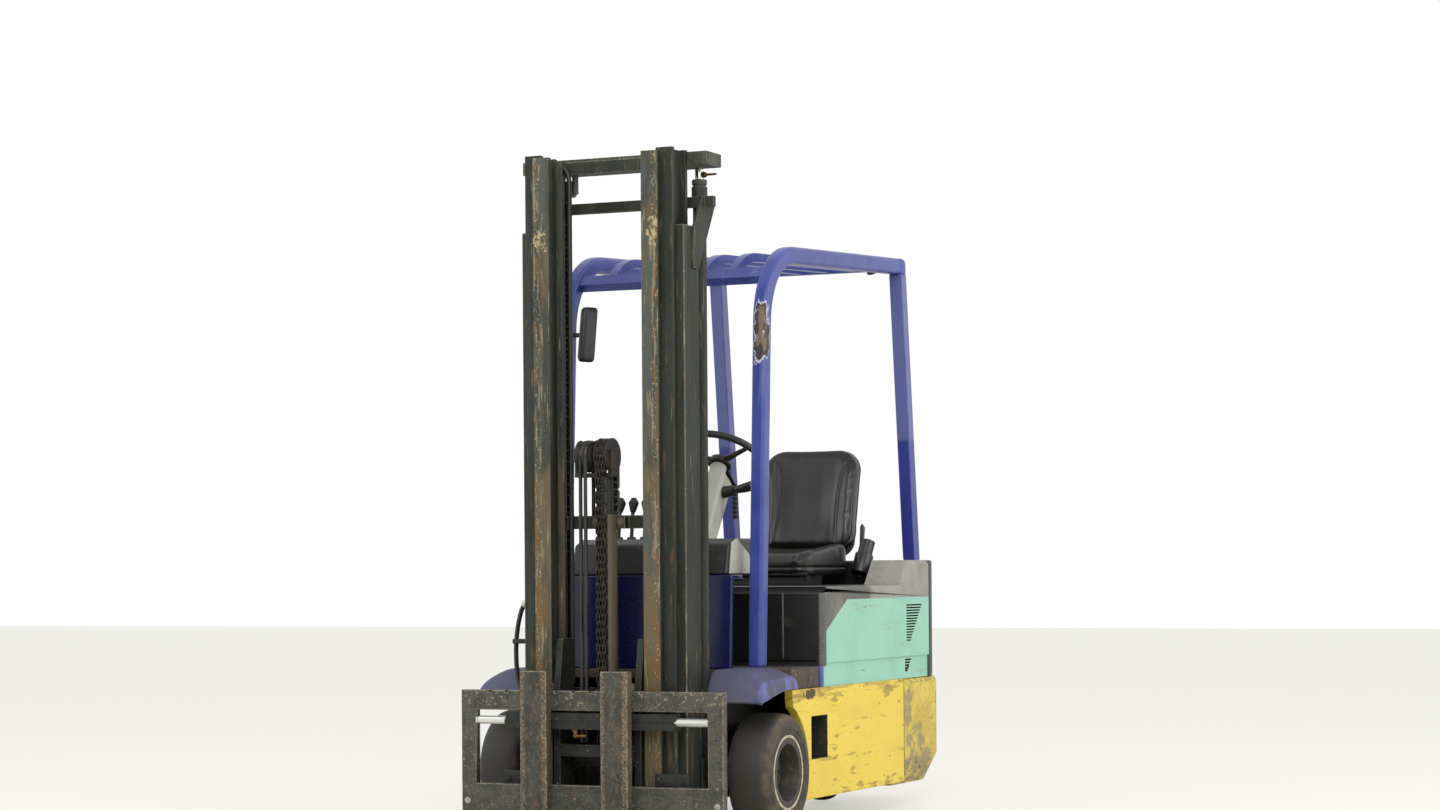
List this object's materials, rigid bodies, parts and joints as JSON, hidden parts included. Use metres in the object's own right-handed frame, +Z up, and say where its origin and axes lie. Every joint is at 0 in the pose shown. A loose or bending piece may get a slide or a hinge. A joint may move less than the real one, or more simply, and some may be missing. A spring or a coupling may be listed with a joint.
{
  "type": "three-wheel electric counterbalance forklift",
  "caption": "Compact electric counterbalance forklift with a three-stage mast, side-shift fork carriage, overhead guard, twin rear steer wheels and cast rear weight.",
  "frame": {"origin": "middle of the bounding box on the floor", "axes": "+Z up, forks point to -Y, the driver's left is +X"},
  "size_m": [1.08, 3.1344, 2.262],
  "materials": {
    "yellow_paint": "worn semi-gloss yellow paint with scrapes",
    "blue_paint": "worn blue paint",
    "deep_blue_paint": "deep blue paint",
    "faded_blue_paint": "faded blue paint",
    "teal_paint": "pale teal paint",
    "mast_steel": "dark grey paint with bare wear and rust",
    "fork_steel": "bare worn steel",
    "rod_chrome": "polished hard chrome",
    "chain_steel": "oiled dark steel",
    "cast_dark": "dark cast iron",
    "tyre_rubber": "dusty worn rubber",
    "rim_steel": "worn dark rim paint",
    "dark_plastic": "grained dark plastic",
    "grey_plastic": "light grey plastic",
    "seat_vinyl": "worn black vinyl",
    "floor_rubber": "dusty rubber mat",
    "hose_rubber": "black hose rubber",
    "battery_case": "dark painted steel"
  },
  "bodies": {
    "chassis": {"front_axle": "cast_dark", "main_frame": "yellow_paint", "battery": "battery_case", "counterweight": "yellow_paint", "tow_clevis": "cast_dark", "hood": "dark_plastic", "rear_cover": "dark_plastic", "side_panels": "teal_paint", "floor_plate": "floor_rubber", "fenders": "faded_blue_paint", "cowl": "deep_blue_paint", "dash": "dark_plastic", "column": "grey_plastic", "controls": "dark_plastic", "seat_base": "dark_plastic", "seat_cushion": "seat_vinyl", "seat_back": "seat_vinyl", "guard_tubes": "blue_paint", "guard_rear_posts": "blue_paint", "roof_grille": "blue_paint", "mirror_head": "dark_plastic"},
    "wheel_left": {"front_left_tyre": "tyre_rubber", "front_left_rim": "rim_steel"},
    "wheel_right": {"front_right_tyre": "tyre_rubber", "front_right_rim": "rim_steel"},
    "steer_unit": {"steer_yoke": "cast_dark"},
    "rear_wheels": {"rear_tyres": "tyre_rubber", "rear_rims": "rim_steel"},
    "hand_wheel": {"steering_wheel": "dark_plastic"},
    "outer_mast": {"outer_rails": "mast_steel", "outer_ties": "mast_steel", "lift_barrels": "mast_steel"},
    "middle_mast": {"middle_rails": "mast_steel", "middle_ties": "mast_steel", "lift_rods": "rod_chrome", "lift_chains": "chain_steel"},
    "inner_mast": {"inner_rails": "mast_steel", "inner_ties": "mast_steel", "free_barrel": "mast_steel", "mast_hose": "hose_rubber"},
    "lift_head": {"free_head": "cast_dark", "free_chain": "chain_steel"},
    "carriage": {"carriage_frame": "mast_steel", "shift_barrel": "mast_steel"},
    "side_shifter": {"shift_frame": "mast_steel"},
    "fork_left": {"left_fork": "fork_steel"},
    "fork_right": {"right_fork": "fork_steel"},
    "tilt_cylinders": {"tilt_barrels": "mast_steel"},
    "tilt_pistons": {"tilt_rods": "rod_chrome"}
  },
  "joints": [
    {"name": "wheel_left_spin", "type": "hinge", "parent": "chassis", "child": "wheel_left", "pos_m": [0.464, -0.0928, 0.198], "axis": [1, 0, 0], "continuous": true},
    {"name": "wheel_right_spin", "type": "hinge", "parent": "chassis", "child": "wheel_right", "pos_m": [-0.464, -0.0928, 0.198], "axis": [1, 0, 0], "continuous": true},
    {"name": "steer", "type": "hinge", "parent": "chassis", "child": "steer_unit", "pos_m": [0, 1.2172, 0.3], "axis": [0, 0, 1], "range_deg": [-85, 85]},
    {"name": "rear_spin", "type": "hinge", "parent": "steer_unit", "child": "rear_wheels", "pos_m": [0, 1.2172, 0.19], "axis": [1, 0, 0], "continuous": true},
    {"name": "hand_wheel_turn", "type": "hinge", "parent": "chassis", "child": "hand_wheel", "pos_m": [0, 0.5572, 1.262], "axis": [0, 0.5736, 0.8192], "continuous": true},
    {"name": "mast_tilt", "type": "hinge", "parent": "chassis", "child": "outer_mast", "pos_m": [0, -0.2078, 0.198], "axis": [1, 0, 0], "range_deg": [-6, 4]},
    {"name": "mast_lift", "type": "slide", "parent": "outer_mast", "child": "middle_mast", "axis": [0, 0, 1], "range_m": [0, 1.4]},
    {"name": "inner_lift", "type": "slide", "parent": "middle_mast", "child": "inner_mast", "axis": [0, 0, 1], "range_m": [0, 1.4], "deforming": ["lift_chains"]},
    {"name": "free_lift", "type": "slide", "parent": "inner_mast", "child": "carriage", "axis": [0, 0, 1], "range_m": [0, 1.45], "deforming": ["free_chain"]},
    {"name": "head_lift", "type": "slide", "parent": "inner_mast", "child": "lift_head", "axis": [0, 0, 1], "range_m": [0, 0.725]},
    {"name": "side_shift", "type": "slide", "parent": "carriage", "child": "side_shifter", "axis": [1, 0, 0], "range_m": [-0.1, 0.1]},
    {"name": "fork_left_slide", "type": "slide", "parent": "side_shifter", "child": "fork_left", "axis": [1, 0, 0], "range_m": [-0.046, 0.32]},
    {"name": "fork_right_slide", "type": "slide", "parent": "side_shifter", "child": "fork_right", "axis": [-1, 0, 0], "range_m": [-0.13, 0.236]},
    {"name": "tilt_swing", "type": "hinge", "parent": "chassis", "child": "tilt_cylinders", "pos_m": [0, 0.2072, 0.38], "axis": [1, 0, 0], "range_deg": [-1, 1]},
    {"name": "tilt_stroke", "type": "slide", "parent": "tilt_cylinders", "child": "tilt_pistons", "axis": [0, -0.992, 0.1259], "range_m": [-0.03, 0.022]}
  ],
  "couplings": [
    {"joint": "inner_lift", "follows": "mast_lift", "ratio": 1},
    {"joint": "head_lift", "follows": "free_lift", "ratio": 0.5},
    {"joint": "tilt_swing", "follows": "mast_tilt", "ratio": 0.021086},
    {"joint": "tilt_stroke", "follows": "mast_tilt", "m_per_rad": 0.2328}
  ]
}
